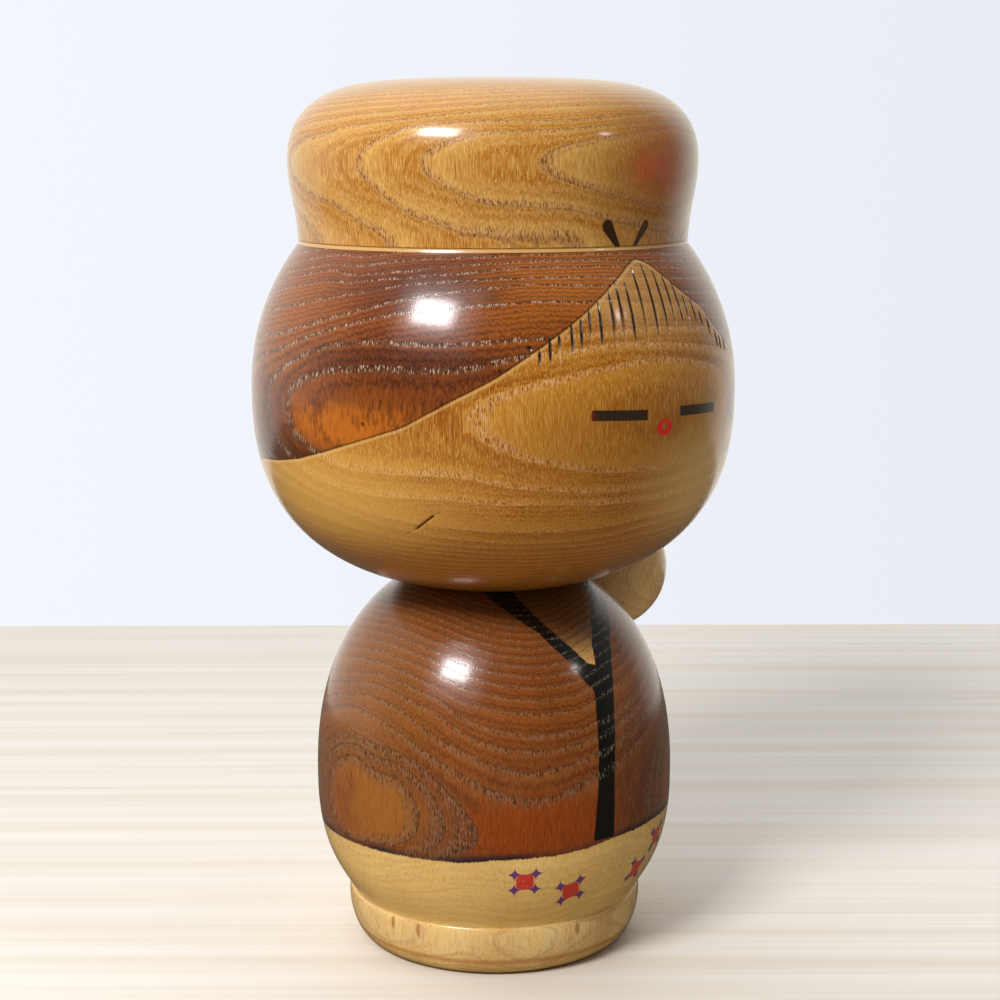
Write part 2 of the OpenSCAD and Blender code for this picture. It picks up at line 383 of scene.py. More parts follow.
HAIRLINE = [(-180, 104.2), (-139, 103.6), (-80, 103.7), (-70, 105.3), (-60, 106.2), (-50, 107.6),
            (-40, 110), (-30, 112.8), (-20, 115.7), (-10, 120.5), (0, 124.9), (10, 130.4),
            (20, 135.7), (30, 141.2), (37, 144.6), (41, 146), (45, 145), (50, 141.7),
            (54.5, 138.9), (60, 136.5), (65, 132), (70, 129), (80, 124.3), (92, 120),
            (102, 115.7), (112, 112.8), (122, 110), (132, 107.6), (142, 106.2), (152, 105.3),
            (162, 104.6), (180, 104.2)]
STAIN_EDGE = [(-180, 27.2), (-75, 26.5), (-50, 27), (-30, 27.3), (-10, 27.3), (0, 28),
              (10, 28.2), (20, 28.3), (30, 28.8), (35, 29.3), (40, 29.7), (60, 30), (100, 29.3),
              (140, 28), (180, 27.2)]
LEFT_ARM = [(-8, 78.6), (7, 75), (19, 71.5), (29.5, 65.5), (33.8, 61.5), (36.4, 60), (42, 60),
            (40.2, 64.4), (39.4, 64.5), (36.8, 65), (33, 67.5), (26.5, 71), (18.5, 75), (11, 78.6)]
RIGHT_ARM = [(40, 60), (45.6, 60), (47.4, 63), (53, 68), (62.5, 71.5), (76, 75), (88, 78.6),
             (70, 78.6), (59, 75), (48.5, 72), (42.2, 68), (40.2, 64.4)]
STRIPE = [(36.6, 60.5), (35.3, 55), (33.8, 42.7), (32.7, 35), (32.2, 30), (40, 30),
          (40, 41.3), (41.2, 48.4), (43, 55), (45.6, 60.5)]
BARE_V = [(11, 78.6), (18.5, 75), (26.5, 71), (33, 67.5), (36.8, 65), (40.2, 64.4), (42.2, 68),
          (48.5, 72), (59, 75), (70, 78.6)]
# Each lock of the fringe: azimuth and height of its upper and lower end, then how far its
# scratched tail runs on below.
LOCKS = [(8.2, 131, 8.2, 130, 0), (10.2, 130, 10, 127.5, 0), (12.6, 132.3, 12.5, 128, 0.5),
         (14.8, 132.9, 14.7, 130, 4), (17.9, 134.8, 17.7, 129.5, 0.5), (20.3, 135.6, 20, 130, 1),
         (22.7, 137.3, 22.3, 131.5, 1.5), (25.5, 138.8, 25, 130.5, 1), (29, 140.3, 28.4, 131, 1),
         (31.6, 142, 31.1, 132, 2), (34.5, 142, 33.9, 131, 1.5), (38.4, 144.3, 37.5, 132, 3),
         (42.3, 145.2, 40.9, 131.5, 4.5), (45.5, 144, 44.4, 132, 2), (48.4, 142.8, 47.5, 133.5, 3),
         (51, 141.5, 50.6, 133.5, 2), (53.6, 138.8, 53.2, 133.8, 3), (56.5, 138, 56.3, 133, 1),
         (58.9, 135.5, 58.7, 132.5, 1.5), (62, 134, 61.6, 130.5, 2.5), (64.8, 131.5, 64.6, 128, 1),
         (66.8, 130.2, 66.6, 127.5, 0.5), (69.8, 129.3, 69.6, 127, 0.5)]
FRINGE_R, LOCK_HALF, LOCK_DEPTH, TAIL_HALF, TAIL_DEPTH = 46.0, 0.35, 0.26, 0.2, 0.05
CRACK = [(-21.6, 94.6), (-18.6, 96.0), (-14, 98.8), (-11.8, 99.8)]
CRACK_HALVES, CRACK_STEEPNESS = (0.16, 0.34, 0.15), 1.6


def edge_distance(azimuth, z, line, radii):
    """Distance above a line that runs round the doll, in millimetres."""
    knots = np.arange(-180, 180.01, 0.5)
    level = np.interp(knots, [p[0] for p in line], [p[1] for p in line])
    soft = np.exp(-(np.arange(-6, 7) / 2.6) ** 2)
    level = np.convolve(np.pad(level, 6, mode="wrap"), soft / soft.sum(), "valid")
    slope = np.gradient(level, knots) / (DEGREE * radii(level))
    above = z - np.interp(azimuth, knots, level)
    return above / np.sqrt(1 + np.interp(azimuth, knots, slope) ** 2)


def area_distance(azimuth, z, corners, radii):
    """Signed distance to an outlined area on the surface, negative inside, in millimetres."""
    wide = DEGREE * float(radii(np.mean([c[1] for c in corners])))
    u, v = azimuth * wide, z
    inside = np.zeros(len(u), bool)
    nearest = np.full(len(u), 1e9)
    for (a0, z0), (a1, z1) in zip(corners, corners[1:] + corners[:1]):
        u0, u1 = a0 * wide, a1 * wide
        du, dz = u1 - u0, z1 - z0
        t = np.clip(((u - u0) * du + (v - z0) * dz) / (du * du + dz * dz), 0, 1)
        nearest = np.minimum(nearest, np.hypot(u - u0 - t * du, v - z0 - t * dz))
        if abs(dz) > 1e-9:
            crosses = ((z0 > v) != (z1 > v)) & (u < u0 + (v - z0) / dz * du)
            inside ^= crosses
    return np.where(inside, -nearest, nearest)


def stroke(azimuth, z, start, end, wide):
    """Distance from a line, and the share of its length, for places near it.

    wide is a degree's width in millimetres there.
    """
    u, du = (azimuth - start[0]) * wide, (end[0] - start[0]) * wide
    v, dv = z - start[1], end[1] - start[1]
    t = (u * du + v * dv) / (du * du + dv * dv)
    near = np.clip(t, 0, 1)
    return np.hypot(u - near * du, v - near * dv), t


def carve_fringe(azimuth, z):
    """Depth of the carved locks, how much ink is left in them, and their pale scratched tails."""
    wide = DEGREE * FRINGE_R
    depth, ink, scratch = np.zeros((3, len(azimuth)))
    near = (azimuth > 5) & (azimuth < 73) & (z > 124) & (z < 147)
    a, h = azimuth[near], z[near]
    for k, (a0, z0, a1, z1, tail) in enumerate(LOCKS):
        away, t = stroke(a, h, (a0, z0), (a1, z1), wide)
        inside = np.clip(t, 0, 1)
        spindle = np.clip(4.6 * inside * (1.02 - inside), 0, 1) ** 0.5
        cut = np.clip(1 - away / (LOCK_HALF * spindle + 0.03), 0, 1)
        depth[near] = np.maximum(depth[near], LOCK_DEPTH * cut)
        worn = 0.62 + 0.25 * math.sin(2.4 * k)
        left = np.clip(2.2 * cut, 0, 1) * np.clip((1.25 - t) / worn, 0, 1)
        ink[near] = np.maximum(ink[near], left)
        if tail:
            end = (a1 + (a1 - a0) * tail / (z0 - z1), z1 - tail)
            away, t = stroke(a, h, (a1, z1 + 2.0), end, wide)
            pale = np.clip(1 - away / TAIL_HALF, 0, 1) * np.clip(1.1 - t, 0, 1)
            depth[near] = np.maximum(depth[near], TAIL_DEPTH * pale)
            scratch[near] = np.maximum(scratch[near], pale)
    return depth, ink, scratch


def carve_crack(azimuth, z):
    """Depth of the short check in the jaw."""
    wide = DEGREE * float(head_radius(CRACK[1][1] + 1))
    depth = np.zeros(len(azimuth))
    near = (azimuth > -24) & (azimuth < -9) & (z > 93) & (z < 101)
    for start, end, half in zip(CRACK, CRACK[1:], CRACK_HALVES):
        away, _ = stroke(azimuth[near], z[near], start, end, wide)
        cut = CRACK_STEEPNESS * half * np.clip(1 - away / half, 0, 1)
        depth[near] = np.maximum(depth[near], cut)
    return depth


# ---------------------------------------------------------------- materials

def tone(red, green, blue):
    """A colour for a shader, from its 0 to 255 screen values."""
    return tuple(((c / 255 + 0.055) / 1.055) ** 2.4 if c > 10 else c / 3294.6
                 for c in (red, green, blue)) + (1.0,)


# Weight of the gloss lacquer, and how deep in metres the wood's own skin is under it
COAT, SKIN_DEPTH = 0.85, 0.00006


class Graph:
    """The nodes of a material or a world. Values may be numbers or the outputs of other nodes."""

    def __init__(self, owner):
        owner.use_nodes = True
        self.owner = owner
        self.tree = owner.node_tree

    def put(self, socket, value):
        if isinstance(value, bpy.types.NodeSocket):
            self.tree.links.new(value, socket)
        else:
            socket.default_value = value

    def add(self, kind, values, output=0):
        """A node of a kind, with values put into its named or numbered inputs."""
        node = self.tree.nodes.new(kind)
        for key, value in values.items():
            self.put(node.inputs[key], value)
        return node.outputs[output]

    def operate(self, kind, operation, values):
        node = self.tree.nodes.new(kind)
        node.operation = operation
        for socket, value in zip(node.inputs, values):
            self.put(socket, value)
        return node.outputs

    def math(self, operation, *values):
        return self.operate("ShaderNodeMath", operation, values)[0]

    def times(self, first, second):
        return self.math("MULTIPLY", first, second)

    def plus(self, first, second):
        return self.math("ADD", first, second)

    def minus(self, first, second):
        return self.math("SUBTRACT", first, second)

    def size(self, value):
        return self.math("ABSOLUTE", value)

    def scaled(self, value, factor, offset):
        """value times factor, plus offset."""
        return self.math("MULTIPLY_ADD", value, factor, offset)

    def distance(self, u, v):
        return self.math("SQRT", self.plus(self.times(u, u), self.times(v, v)))

    def vector(self, operation, *values, output=0):
        return self.operate("ShaderNodeVectorMath", operation, values)[output]

    def ramp(self, value, low, high, start=0.0, end=1.0):
        """start where value is below low, end above high, and smooth between."""
        node = self.tree.nodes.new("ShaderNodeMapRange")
        node.interpolation_type = "SMOOTHSTEP"
        for key, number in zip(("Value", "From Min", "From Max", "To Min", "To Max"),
                               (value, low, high, start, end)):
            self.put(node.inputs[key], number)
        return node.outputs[0]

    def rise(self, value, low, high, most=1.0):
        return self.ramp(value, low, high, 0.0, most)

    def fall(self, value, low, high, most=1.0):
        return self.ramp(value, low, high, most, 0.0)

    def choose(self, factor, first, second):
        """A number between first, where factor is 0, and second, where it is 1."""
        step = self.minus(second, first)
        return self.scaled(step, factor, first)

    def mix(self, factor, first, second):
        """A colour between two colours. A colour is a node's output or 0 to 255 screen values."""
        node = self.tree.nodes.new("ShaderNodeMix")
        node.data_type = "RGBA"
        colours = [tone(*c) if isinstance(c, tuple) and len(c) == 3 else c
                   for c in (first, second)]
        for key, value in zip((0, 6, 7), (factor, *colours)):
            self.put(node.inputs[key], value)
        return node.outputs[2]

    def layers(self, colour, *coats):
        """A colour under coats, each with its strength and its own colour."""
        for factor, tint in coats:
            colour = self.mix(factor, colour, tint)
        return colour

    def noise(self, vector, detail=2.0, roughness=0.5):
        return self.add("ShaderNodeTexNoise", {"Vector": vector, "Scale": 1.0, "Detail": detail,
                                               "Roughness": roughness})

    def ragged(self, place, across, along_grain, detail=2.0, roughness=0.5):
        """Noise about 0, for wavering an edge."""
        noise = self.noise(self.stretched(place, across, along_grain), detail, roughness)
        return self.minus(noise, 0.5)

    def cells(self, vector):
        """Distance to the nearest of some scattered points, and that point's own colour."""
        node = self.tree.nodes.new("ShaderNodeTexVoronoi")
        self.put(node.inputs["Vector"], vector)
        self.put(node.inputs["Scale"], 1.0)
        return node.outputs["Distance"], node.outputs["Color"]

    def field(self, name):
        node = self.tree.nodes.new("ShaderNodeAttribute")
        node.attribute_name = name
        return node.outputs["Fac"]

    def place(self):
        """Place on the doll in millimetres, before any joint moves it."""
        own = self.add("ShaderNodeTexCoord", {}, "Object")
        return self.vector("MULTIPLY", own, (1 / MM, 1 / MM, 1 / MM))

    def split(self, vector):
        node = self.tree.nodes.new("ShaderNodeSeparateXYZ")
        self.put(node.inputs[0], vector)
        return node.outputs

    def stretched(self, place, across, along_grain):
        """place measured in units of across sideways and along_grain up the wood's fibres."""
        return self.vector("MULTIPLY", place, (1 / across, 1 / across, 1 / along_grain))

    def turn(self, place):
        """Azimuth of a place in degrees, from the camera's side."""
        x, y, _ = self.split(place)
        angle = self.math("ARCTAN2", x, self.times(y, -1.0))
        return self.scaled(angle, 180 / math.pi, FACE)

    def slope(self):
        """How steeply the surface cuts across the fibres: 0 along them, 1 square across."""
        return self.size(self.split(self.add("ShaderNodeTexCoord", {}, "Normal"))[2])

    def bump(self, height, depth):
        return self.add("ShaderNodeBump", {"Strength": 1.0, "Distance": depth, "Height": height})

    def shade(self, colour, roughness, height, depth, coat=COAT):
        """The material with its surface. height runs from 0 to 1 over depth metres."""
        values = {"Base Color": colour, "Roughness": roughness, "Normal": self.bump(height, depth),
                  "Specular IOR Level": 0.12}
        if coat:
            values.update({"Coat Weight": coat, "Coat Roughness": 0.15, "Coat IOR": 1.5,
                           "Coat Normal": self.bump(height, depth * 0.25)})
        surface = self.add("ShaderNodeBsdfPrincipled", values)
        out = self.tree.nodes.new("ShaderNodeOutputMaterial")
        self.put(out.inputs["Surface"], surface)
        return self.owner


def new_material(name):
    g = Graph(bpy.data.materials.new(name))
    g.tree.nodes.clear()
    return g


def grain(g, place, thin=0.2, thick=0.34, pore=(0.27, 1.15)):
    """What the wood shows at each place, every value from 0 to 1.

    thin and thick are how deep a ring's row of pores is where the surface runs along the fibres
    and where it cuts across them. pore is a pore's width and length.
    """
    zigzag = g.ragged(place, 0.8, 3.0, 3.0, 0.6)
    ring = g.scaled(g.ragged(place, 12, 34, 3.0), 0.14, g.field("ring"))
    share = g.math("FRACT", g.scaled(zigzag, 0.11, ring))
    depth = g.times(share, g.field("gap"))
    reach = g.ramp(g.slope(), 0.0, 0.25, thin, thick)
    row = g.times(g.rise(depth, 0.0, 0.04), g.fall(g.math("DIVIDE", depth, reach), 0.5, 1.0))
    away, pick = g.cells(g.stretched(place, *pore))
    aside = g.stretched(g.vector("ADD", place, (7.3, 3.1, 5.7)), 0.2, 1.0)
    fleck_away, fleck_pick = g.cells(aside)
    small = g.rise(g.split(fleck_pick)[0], 0.45, 0.7)
    bands = g.math("SINE", g.scaled(zigzag, 8.0, g.times(depth, 16.0)))
    return SimpleNamespace(
        row=row, pick=g.split(pick), bands=g.ramp(bands, -1.0, 1.0),
        pore=g.times(g.fall(away, 0.3, 0.6), row),
        edge=g.times(g.rise(depth, 0.0, 0.02), g.fall(depth, 0.05, 0.12)),
        fleck=g.times(g.fall(fleck_away, 0.12, 0.34), small),
        late=g.times(g.rise(share, 0.1, 0.8), g.ramp(bands, -0.9, 0.9, 0.5, 1.0)),
        fibre=g.noise(g.stretched(place, 0.3, 5), 3.0, 0.62),
        thread=g.noise(g.stretched(place, 0.13, 2.2), 1.0),
        cloud=g.noise(g.stretched(place, 8, 20), 2.0))


def natural_colour(g, w, honey=(208, 143, 50), amber=(158, 86, 12), pale=(238, 192, 106),
                   marks=1.0):
    """Clear wood: honey with amber latewood, pale strokes along the fibres, and specks in rows."""
    speck = g.mix(g.rise(w.pick[0], 0.45, 0.6), (112, 56, 24), (234, 186, 136))
    return g.layers(
        g.mix(w.late, honey, amber),
        (g.rise(w.cloud, 0.35, 0.7, 0.35), (196, 128, 42)),
        (g.fall(w.fibre, 0.3, 0.46, 0.45), (146, 78, 12)),
        (g.rise(w.fibre, 0.54, 0.7, 0.3), pale),
        (g.rise(w.thread, 0.56, 0.65, 0.5), pale),
        (g.fall(w.thread, 0.35, 0.44, 0.35 * marks), (140, 74, 12)),
        (g.times(w.row, 0.4), (216, 154, 92)),
        (g.times(w.pore, 0.75 * marks), speck),
        (g.times(w.fleck, 0.18 * marks), (120, 60, 16)))


def stained_ground(g, w, bright, deep):
    """Stained wood without its fine marks: darker where the latewood took more stain."""
    cloudy = g.rise(w.cloud, 0.35, 0.7, 0.35)
    return g.layers(g.mix(w.late, bright, deep), (cloudy, (112, 52, 20)))


def stained_detail(g, w, colour, filler, share, strength=0.8):
    """Fibres over a stained ground, and open pores, a share of them dark and the rest filled."""
    pore = g.mix(g.rise(w.pick[0], share - 0.04, share + 0.04), (42, 20, 12), filler)
    return g.layers(
        colour,
        (g.rise(w.fibre, 0.54, 0.74, 0.3), (190, 112, 46)),
        (g.fall(w.fibre, 0.28, 0.45, 0.4), (76, 32, 10)),
        (g.rise(w.thread, 0.56, 0.68, 0.35), (64, 26, 10)),
        (g.fall(w.thread, 0.34, 0.44, 0.22), (204, 124, 54)),
        (g.times(w.edge, 0.55), (48, 22, 12)),
        (g.times(w.row, 0.3), (120, 78, 50)),
        (g.times(w.pore, strength), pore),
        (g.times(w.fleck, 0.45), (54, 22, 8)))


def relief(g, w):
    """Height of the wood's own skin: fibres stand a little, and pores are open."""
    return g.scaled(w.pore, -0.5, g.scaled(w.fibre, 0.3, 0.6))


def lacquered(g, w, colour, height=None):
    height = relief(g, w) if height is None else height
    return g.shade(colour, g.scaled(w.fibre, 0.1, 0.24), height, SKIN_DEPTH)


def oval(g, azimuth, height, middle, size):
    """Distance from a middle, 1 where it is size's degrees aside or millimetres up or down."""
    u = g.math("DIVIDE", g.minus(azimuth, middle[0]), size[0])
    v = g.math("DIVIDE", g.minus(height, middle[1]), size[1])
    return g.distance(u, v)


def patches(g, colour, azimuth, height, rows, soft):
    """Lays soft oval stains on a colour. A row is middle, half sizes, tint and strength."""
    for middle, size, tint, strength in rows:
        away = oval(g, azimuth, height, middle, size)
        colour = g.mix(g.fall(away, 1 - soft, 1 + soft, strength), colour, tint)
    return colour


HAIR_STAINS = [
    ((-60, 134), (20, 11), (172, 96, 36), 0.7), ((8, 136), (14, 6), (166, 92, 32), 0.6),
    ((-33, 114.5), (20, 5.5), (204, 112, 24), 0.85), ((-12, 141.5), (20, 4), (78, 34, 24), 0.75),
    ((-22, 127.6), (24, 3.6), (76, 36, 26), 0.8), ((-28, 121.2), (34, 2.2), (92, 44, 20), 0.4),
    ((24, 143), (24, 6), (206, 124, 54), 0.6), ((-64, 107), (8, 7), (48, 22, 12), 0.75),
    ((-48, 107.8), (20, 3.0), (58, 26, 10), 0.8), ((150, 128), (34, 9), (78, 34, 24), 0.6),
    ((-130, 120), (26, 8), (176, 92, 24), 0.6)]
HAIR_VEIL = [((-63, 113), (13, 9), (92, 46, 22), 0.6)]
# Stains on the bare wood of the jaw and face. The darker patch at (36, 110) is painted shade on the
# right side of the face.
JAW_STAINS_AND_SHADE = [((-48, 101), (34, 9), (234, 184, 92), 0.55), ((36, 110), (32, 9), (140, 80, 14), 0.4),
              ((62, 103), (20, 10), (246, 206, 134), 0.6)]
BROW_STAINS = [((38, 139), (17, 7), (196, 150, 96), 0.4)]
FACE_SPOT = [((81, 116.3), (11.5, 4.7), (116, 62, 28), 0.9)]
FACE_SPECKS = [((-29.3, 116), (0.45, 0.4), (54, 24, 12), 0.8),
               ((1.3, 126.5), (0.45, 0.4), (54, 24, 12), 0.8)]
# Each eye's middle, half width and half height in millimetres, and slope
EYES = [((28.6, 117.55), (6.1, 1.0), -0.055), ((52.8, 117.0), (6.15, 0.97), -0.04)]
EYE_STAIN = [((21.9, 117.7), (0.7, 0.8), (112, 34, 24), 0.7)]
# Millimetres to a degree at the eyes
FACE_WIDE = 0.865
# Middle of the mouth's disc and of the disc that hollows it, each with its oval's half sizes
MOUTH, MOUTH_HOLLOW = ((40.8, 114.56), (1 / 0.7, 1)), ((40.85, 114.8), (1 / 1.05, 1))


def stain_hair(g, w, azimuth, height, place):
    """Stained wood, with the cloudy darker and brighter places of the hair."""
    warp = g.ragged(place, 6, 2.5, 4.0, 0.6)
    turned, level = g.scaled(warp, 26.0, azimuth), g.scaled(warp, -5.0, height)
    colour = stained_ground(g, w, (160, 82, 28), (112, 52, 20))
    colour = patches(g, colour, turned, level, HAIR_STAINS, 0.8)
    colour = g.mix(g.rise(w.bands, 0.65, 1.0, 0.45), colour, (58, 24, 12))
    colour = stained_detail(g, w, colour, (206, 186, 160), 0.55)
    return patches(g, colour, turned, level, HAIR_VEIL, 0.6)


def bar(g, azimuth, height, middle, size, slope):
    """How much of a painted bar covers a place."""
    u = g.times(g.minus(azimuth, middle[0]), FACE_WIDE)
    v = g.scaled(u, -slope, g.minus(height, middle[1]))
    over = g.math("MAXIMUM", g.minus(g.size(u), size[0]), g.minus(g.size(v), size[1]))
    return g.fall(over, -0.08, 0.08, 0.96)


def paint_face(g, colour, azimuth, height, ragged):
    """A brown spot and two specks in the wood, the eyes and the mouth."""
    wobble = g.times(ragged, 0.25)
    azimuth = g.plus(azimuth, wobble)
    level = g.plus(height, g.times(wobble, 0.5))
    colour = patches(g, colour, azimuth, level, FACE_SPOT, 0.2)
    colour = patches(g, colour, azimuth, level, FACE_SPECKS, 0.3)
    for eye in EYES:
        colour = g.mix(bar(g, azimuth, level, *eye), colour, (44, 36, 27))
    colour = patches(g, colour, azimuth, level, EYE_STAIN, 0.5)
    outer, inner = oval(g, azimuth, level, *MOUTH), oval(g, azimuth, level, *MOUTH_HOLLOW)
    mouth = g.times(g.fall(outer, 1.55, 1.7), g.rise(inner, 0.7, 0.86))
    return g.mix(mouth, colour, (226, 44, 40))


def head_material():
    g = new_material("head_zelkova")
    place = g.place()
    w = grain(g, place)
    azimuth, height = g.turn(place), g.split(place)[2]
    # Painted shade: the natural wood darkens towards the jaw's underside, below 107 mm, to (130,
    # 74, 18).
    bare = g.mix(g.fall(height, 80, 107, 0.75), natural_colour(g, w), (130, 74, 18))
    # These patches include painted shade on the right side of the face.
    bare = patches(g, bare, azimuth, height, JAW_STAINS_AND_SHADE, 0.7)
    bare = patches(g, bare, azimuth, height, BROW_STAINS, 0.5)
    stained = stain_hair(g, w, azimuth, height, place)
    ragged = g.ragged(place, 0.3, 2.0)
    edge = g.scaled(ragged, 0.25, g.field("hair"))
    under_lip = g.fall(height, SEAM_H - LIP_H - 0.05, SEAM_H - LIP_H + 0.05)
    hair = g.times(g.rise(edge, -0.06, 0.06), under_lip)
    line = g.fall(g.size(g.minus(edge, 0.1)), 0.08, 0.26)
    colour = g.layers(
        g.mix(hair, bare, stained),
        (g.minus(1.0, under_lip), (222, 176, 108)),
        (g.times(line, 0.6), (60, 30, 16)),
        (g.fall(g.size(g.plus(edge, 0.4)), 0.1, 0.35, 0.35), (240, 204, 136)),
        (g.times(g.field("scratch"), 0.75), (242, 212, 156)),
        (g.field("ink"), (30, 24, 22)),
        (g.rise(g.field("crack"), 0.05, 0.5), (34, 16, 8)))
    colour = paint_face(g, colour, azimuth, height, ragged)
    return lacquered(g, w, colour, g.scaled(line, -0.35, relief(g, w)))


# The first patch, darker amber over the right of the topknot, is painted shade. The others are the
# red blush.
BLUSHES_AND_SHADE = [((68, 162), (32, 14), (124, 70, 14), 0.6), ((53, 163.5), (13, 7), (214, 96, 44), 0.4),
           ((44.5, 162.9), (4.4, 2.2), (220, 92, 34), 0.5),
           ((51, 163.2), (4.2, 2.4), (206, 84, 54), 0.35)]


def topknot_material():
    g = new_material("topknot_zelkova")
    place = g.place()
    w = grain(g, place, 0.22, 0.36, (0.23, 1.2))
    azimuth = g.scaled(g.ragged(place, 0.3, 2.0), 0.5, g.turn(place))
    brown = g.times(w.pore, g.ramp(w.pick[1], 0.3, 0.5, 0.7, 0.15))
    colour = g.layers(
        natural_colour(g, w, (226, 172, 88), (190, 120, 34), (244, 206, 132)),
        (brown, (118, 66, 34)),
        (g.times(w.edge, 0.35), (112, 62, 30)),
        (g.fall(g.field("knot"), -0.1, 0.1, 0.98), (24, 19, 16)))
    # The patches lay the red blush, and painted shade on the topknot's right.
    return lacquered(g, w, patches(g, colour, azimuth, g.split(place)[2], BLUSHES_AND_SHADE, 0.8))


# Each flower's middle, size and lean. The first four are the ones that the photograph shows.
FLOWERS = [(9.7, 22.95, 0.97, 0), (25.9, 19.6, 1.0, 12), (56, 19.8, 0.95, -8),
           (66.5, 25.1, 1.0, 6), (96, 20.5, 0.9, -12), (118, 24, 1.0, 9), (141, 19.5, 0.85, 0),
           (163, 23.5, 1.0, -6), (185, 20, 0.9, 12), (207, 24, 1.0, 0), (-128, 19.5, 0.9, 8),
           (-104, 23, 0.95, -10)]
# Millimetres to a degree round the painted band
BAND_WIDE = 0.62
BODY_STAINS = [
    ((-48, 57), (26, 15), (148, 96, 40), 0.45), ((-38, 36.5), (15, 6.5), (166, 104, 38), 0.75),
    ((14, 34.5), (24, 6.5), (154, 64, 0), 0.9), ((-14, 33), (8, 6), (122, 70, 44), 0.45),
    ((55, 42), (16, 14), (104, 60, 40), 0.4), ((-100, 45), (26, 12), (150, 80, 30), 0.4),
    ((150, 38), (30, 8), (156, 76, 20), 0.5)]


def paint_flower(g, colour, azimuth, height, flower, specks):
    """A small red flower between four purple sparkles."""
    middle, size, lean = flower[:2], flower[2], math.radians(flower[3])
    u = g.times(g.minus(azimuth, middle[0]), BAND_WIDE / size)
    v = g.math("DIVIDE", g.minus(height, middle[1]), size)
    x = g.size(g.plus(g.times(u, math.cos(lean)), g.times(v, math.sin(lean))))
    y = g.size(g.minus(g.times(v, math.cos(lean)), g.times(u, math.sin(lean))))
    dx, dy = g.size(g.minus(x, 2.15)), g.size(g.minus(y, 1.85))
    star = g.plus(g.math("POWER", dx, 0.55), g.math("POWER", dy, 0.55))
    petal = g.plus(g.math("POWER", x, 3.2), g.math("POWER", y, 3.2))
    red = g.mix(g.times(specks, 0.4), (214, 40, 36), (240, 176, 150))
    return g.layers(colour, (g.fall(star, 1.28, 1.42, 0.95), (104, 48, 124)),
                    (g.fall(petal, 6.0, 8.5, 0.96), red))


def stain_body(g, w, azimuth, height, place):
    """Stained wood of the body, with its brighter hearts between the rings."""
    warp = g.ragged(place, 5, 4, 4.0, 0.6)
    turned, level = g.scaled(warp, 14.0, azimuth), g.scaled(warp, -6.0, height)
    colour = stained_ground(g, w, (166, 94, 38), (118, 62, 26))
    colour = patches(g, colour, turned, level, BODY_STAINS, 0.45)
    # Painted shade under the head: the stained wood darkens towards the top of the body, above 66
    # mm.
    colour = g.mix(g.rise(height, 66, 78, 0.5), colour, (84, 46, 16))
    return stained_detail(g, w, colour, (150, 116, 84), 0.35, 0.75)


def body_material():
    g = new_material("body_zelkova")
    place = g.place()
    w = grain(g, place, 0.28, 0.42)
    azimuth, height = g.turn(place), g.split(place)[2]
    # Painted shade under the head: the bare wood of the V darkens towards its top, and its real
    # ring lines are drawn dark there.
    throat_shade = g.rise(height, 64.5, 71, 0.93)
    lines = g.times(g.math("MAXIMUM", w.pore, w.late), throat_shade)
    bare = g.layers(
        natural_colour(g, w, (252, 208, 126), (222, 158, 70), (255, 228, 164), 0.5),
        (g.fall(height, 35, 55, 0.35), (255, 222, 136)),
        (throat_shade, (118, 70, 28)),
        (g.times(lines, 0.7), (66, 36, 14)))
    stained = stain_body(g, w, azimuth, height, place)
    ragged = g.ragged(place, 0.3, 3.0)
    edge = g.scaled(ragged, 1.1, g.field("stain"))
    covered = g.minus(1.0, g.fall(g.field("bare"), -0.1, 0.1))
    rim = g.times(g.rise(edge, -0.1, 0.1), g.fall(edge, 0.3, 1.9))
    uneven = g.ramp(g.noise(g.stretched(place, 16, 16), 1.0), 0.4, 0.6, 0.45, 0.95)
    filled = g.times(w.pore, g.ramp(w.pick[0], 0.45, 0.55, 0.1, 0.75))
    ink = g.layers((9, 10, 8), (filled, (140, 126, 100)),
                   (g.rise(w.fibre, 0.5, 0.75, 0.4), (26, 29, 24)))
    band = g.scaled(ragged, 0.3, g.field("collar"))
    colour = g.layers(
        g.mix(g.times(g.rise(edge, -0.12, 0.12), covered), bare, stained),
        (g.times(rim, uneven), (46, 34, 42)),
        (g.fall(band, -0.1, 0.1, 0.99), ink))
    specks = g.rise(w.thread, 0.6, 0.66)
    azimuth = g.scaled(ragged, 0.4, azimuth)
    for flower in FLOWERS:
        colour = paint_flower(g, colour, azimuth, height, flower, specks)
    return lacquered(g, w, colour)


FOOT_MARKS = [(middle, (0.9, 1.3), (176, 96, 34), 0.7)
              for middle in ((-42, 9.6), (-30, 9.4), (33, 9.3))]


def foot_material():
    g = new_material("foot_zelkova")
    place = g.place()
    w = grain(g, place)
    height = g.split(place)[2]
    streak = g.rise(g.noise(g.stretched(place, 0.5, 12), 3.0, 0.7), 0.5, 0.62)
    inside = g.times(g.rise(height, 3.4, 5.0), g.fall(height, 8.8, 10.6))
    colour = g.layers(
        natural_colour(g, w, (254, 216, 142), (252, 206, 124), (255, 234, 180), 0.15),
        (g.times(g.times(streak, inside), 0.55), (248, 216, 160)),
        (g.fall(g.size(g.minus(height, 3.6)), 0.2, 0.9, 0.5), (190, 112, 38)))
    return lacquered(g, w, patches(g, colour, g.turn(place), height, FOOT_MARKS, 0.4))


def child_material():
    g = new_material("child_zelkova")
    w = grain(g, g.place())
    colour = natural_colour(g, w, (252, 218, 150), (240, 194, 122), (255, 230, 176), 0.3)
    return g.shade(colour, g.scaled(w.fibre, 0.15, 0.4), relief(g, w), SKIN_DEPTH)


